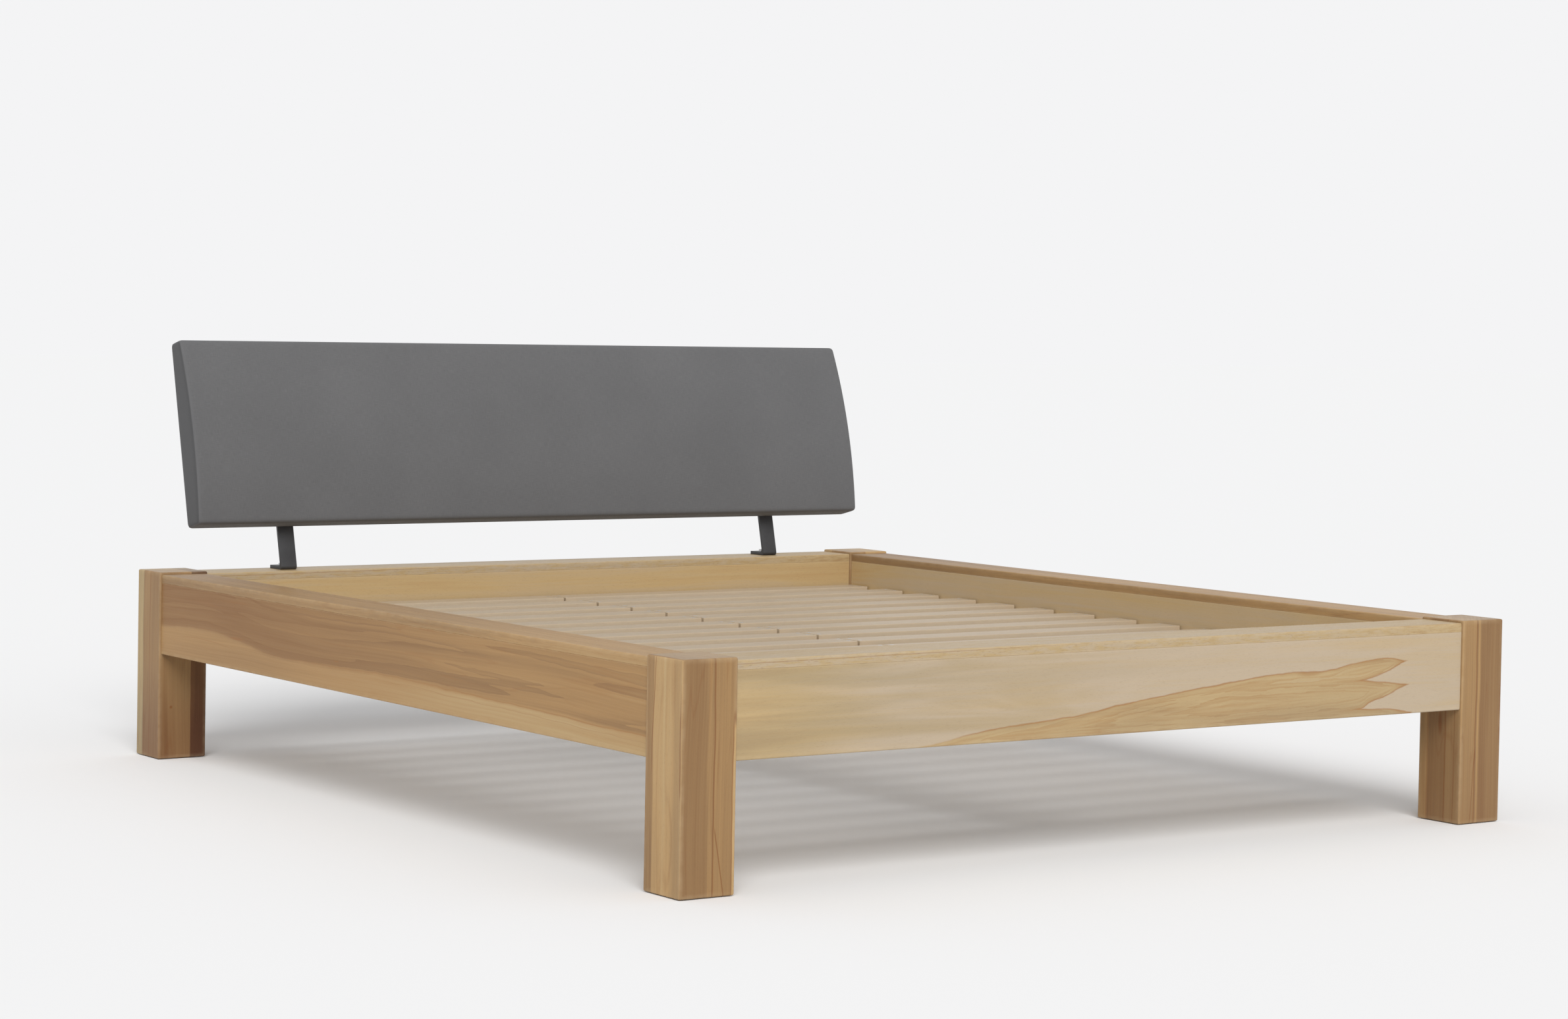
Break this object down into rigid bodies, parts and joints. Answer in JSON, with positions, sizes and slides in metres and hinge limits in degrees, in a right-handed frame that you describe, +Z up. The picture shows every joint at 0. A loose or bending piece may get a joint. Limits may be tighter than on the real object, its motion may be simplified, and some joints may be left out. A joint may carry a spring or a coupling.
{
  "type": "bed frame",
  "caption": "Low timber double bed frame with square corner legs, deep box rails, lift-out slatted bases and a leaning padded grey headboard on steel brackets.",
  "frame": {"origin": "on the floor, at the middle of the bed's bounding box, headboard included", "axes": "+Z up, +Y towards the head end, +X to the right across the bed, seen from the foot end"},
  "size_m": [2.03, 2.28, 0.9409],
  "materials": {
    "oiled_timber": "oiled, satin, flame-figured boards of pale sapwood and tan to brown heartwood",
    "inner_timber": "planed, unfinished hardwood",
    "slat_timber": "planed pale slats",
    "plywood": "raw plywood",
    "dark_steel": "fine-textured dark grey powder coat",
    "zinc_steel": "bright zinc plating",
    "foam": "open-cell upholstery foam",
    "grey_cover": "tight plain weave, matt mid grey",
    "back_cloth": "thin black non-woven cloth",
    "felt": "pressed felt"
  },
  "bodies": {
    "frame": {"leg_foot_left": "oiled_timber", "leg_foot_right": "oiled_timber", "leg_head_left": "oiled_timber", "leg_head_right": "oiled_timber", "felt_glides": "felt", "foot_rail_face": "oiled_timber", "foot_rail_cap": "oiled_timber", "foot_rail_lining": "oiled_timber", "foot_rail_blocks": "inner_timber", "head_rail_face": "oiled_timber", "head_rail_cap": "oiled_timber", "head_rail_lining": "oiled_timber", "head_rail_blocks": "inner_timber", "left_rail_face": "oiled_timber", "left_rail_cap": "oiled_timber", "left_rail_lining": "oiled_timber", "left_rail_blocks": "inner_timber", "right_rail_face": "oiled_timber", "right_rail_cap": "oiled_timber", "right_rail_lining": "oiled_timber", "right_rail_blocks": "inner_timber", "corner_bolts": "zinc_steel", "corner_washers": "zinc_steel", "leg_inserts": "zinc_steel", "corner_dowels": "inner_timber", "left_ledge": "inner_timber", "right_ledge": "inner_timber", "ledge_screws": "zinc_steel", "centre_beam": "dark_steel", "beam_shoe_foot": "dark_steel", "beam_shoe_head": "dark_steel", "shoe_screws": "zinc_steel", "headboard_board": "plywood", "headboard_foam": "foam", "headboard_cover": "grey_cover", "headboard_back_cloth": "back_cloth", "bracket_left": "dark_steel", "bracket_right": "dark_steel", "bracket_foot_screws": "zinc_steel", "panel_bolts": "zinc_steel", "panel_tee_nuts": "zinc_steel"},
    "left_slatted_base": {"left_base_outer_runner": "slat_timber", "left_base_inner_runner": "slat_timber", "left_base_slats": "slat_timber", "left_base_screws": "zinc_steel"},
    "right_slatted_base": {"right_base_outer_runner": "slat_timber", "right_base_inner_runner": "slat_timber", "right_base_slats": "slat_timber", "right_base_screws": "zinc_steel"}
  },
  "joints": [
    {"name": "left_base_lift", "type": "slide", "parent": "frame", "child": "left_slatted_base", "axis": [0, 0, 1], "range_m": [0, 0.25]},
    {"name": "right_base_lift", "type": "slide", "parent": "frame", "child": "right_slatted_base", "axis": [0, 0, 1], "range_m": [0, 0.25]}
  ]
}
